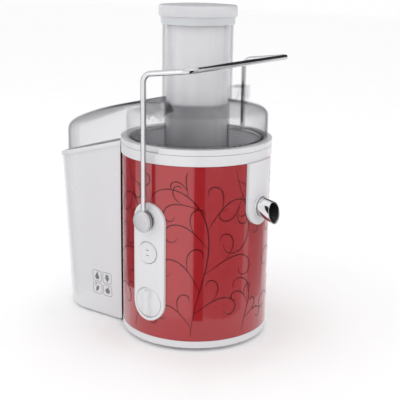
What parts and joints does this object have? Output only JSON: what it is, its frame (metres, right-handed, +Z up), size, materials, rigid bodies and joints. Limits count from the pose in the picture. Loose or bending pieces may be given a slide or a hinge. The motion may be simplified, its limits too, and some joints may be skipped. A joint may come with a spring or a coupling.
{
  "type": "centrifugal juicer",
  "caption": "Upright centrifugal juicer with a wide feed tube, swinging locking arm, steel spout and pulp container beside a red body.",
  "frame": {"origin": "where the basket's upright spin axis meets the table", "axes": "+Z up along the spin axis, -Y to the front with the controls, +X to the spout"},
  "size_m": [0.3014, 0.202, 0.379],
  "materials": {
    "white_plastic": "glossy moulded white",
    "white_cap": "frosted translucent white",
    "red_film": "metallic red with a darker printed scroll",
    "clear_plastic": "clear, slightly smoky",
    "chrome_wire": "polished",
    "satin_silver": "satin",
    "steel": "brushed",
    "mesh_steel": "perforated sheet",
    "black_plastic": "matte black",
    "black_rubber": "soft black rubber",
    "bronze": "sintered bronze",
    "copper": "enamelled copper winding",
    "laminations": "stacked sheet iron",
    "bracket_metal": "die-cast",
    "board_green": "glass-fibre board",
    "carbon": "pressed carbon"
  },
  "bodies": {
    "casing": {"base_plate": "white_plastic", "feet": "black_rubber", "base_screws": "steel", "motor_housing": "white_plastic", "bowl_housing": "white_plastic", "red_sleeve": "red_film", "top_band": "white_plastic", "control_pill": "white_plastic", "rear_pivot_boss": "white_plastic", "spout_bezel": "white_plastic", "cord_gland": "black_rubber", "power_switch": "black_plastic", "speed_switch": "black_plastic", "circuit_board": "board_green", "capacitor": "black_plastic", "interlock_switches": "black_plastic", "arm_bushes": "bronze", "stator_core": "laminations", "field_coils": "copper", "brush_holders": "bronze", "carbon_brushes": "carbon", "lower_bracket": "bracket_metal", "lower_bearing": "bronze", "upper_bracket": "bracket_metal", "upper_bearing": "steel", "motor_mounts": "black_rubber", "shaft_seal": "black_rubber", "juice_bowl": "white_plastic", "spout_tube": "chrome_wire", "spout_collar": "white_plastic"},
    "spinning_basket": {"rotor_core": "laminations", "commutator": "copper", "motor_shaft": "steel", "cooling_fan": "black_plastic", "drive_coupling": "black_plastic", "basket_base": "black_plastic", "grater_disc": "steel", "filter_basket": "mesh_steel", "basket_rim": "steel"},
    "locking_arm": {"arm_wire": "chrome_wire", "arm_hubs": "satin_silver", "hub_caps": "satin_silver", "arm_axles": "steel", "arm_cams": "black_plastic"},
    "lid": {"lid": "clear_plastic", "feed_tube": "clear_plastic"},
    "pusher": {"pusher_body": "clear_plastic", "pusher_cap": "white_cap"},
    "power_button": {"power_button": "white_plastic"},
    "speed_dial": {"dial_knob": "white_plastic", "dial_shaft": "steel"},
    "container": {"pulp_container": "white_plastic"}
  },
  "joints": [
    {"name": "basket_spin", "type": "hinge", "parent": "casing", "child": "spinning_basket", "pos_m": [0, 0, 0.176], "axis": [0, 0, 1], "continuous": true},
    {"name": "arm_swing", "type": "hinge", "parent": "casing", "child": "locking_arm", "pos_m": [0, 0, 0.15], "axis": [0, 1, 0], "range_deg": [0, 90]},
    {"name": "lid_lift", "type": "slide", "parent": "casing", "child": "lid", "axis": [0, 0, 1], "range_m": [0, 0.14]},
    {"name": "container_out", "type": "slide", "parent": "casing", "child": "container", "axis": [-1, 0, 0], "range_m": [0, 0.14]},
    {"name": "pusher_lift", "type": "slide", "parent": "lid", "child": "pusher", "axis": [0, 0, 1], "range_m": [0, 0.185]},
    {"name": "button_press", "type": "slide", "parent": "casing", "child": "power_button", "axis": [0, 1, 0], "range_m": [0, 0.002], "stiffness_N_per_m": 600, "springref_m": -0.002},
    {"name": "dial_turn", "type": "hinge", "parent": "casing", "child": "speed_dial", "pos_m": [0, -0.09, 0.053], "axis": [0, 1, 0], "range_deg": [0, 90]}
  ],
  "couplings": [
    {"joint": "lid_lift", "follows": "arm_swing", "m_per_rad": 0.0891},
    {"joint": "container_out", "follows": "arm_swing", "m_per_rad": 0.0891}
  ]
}
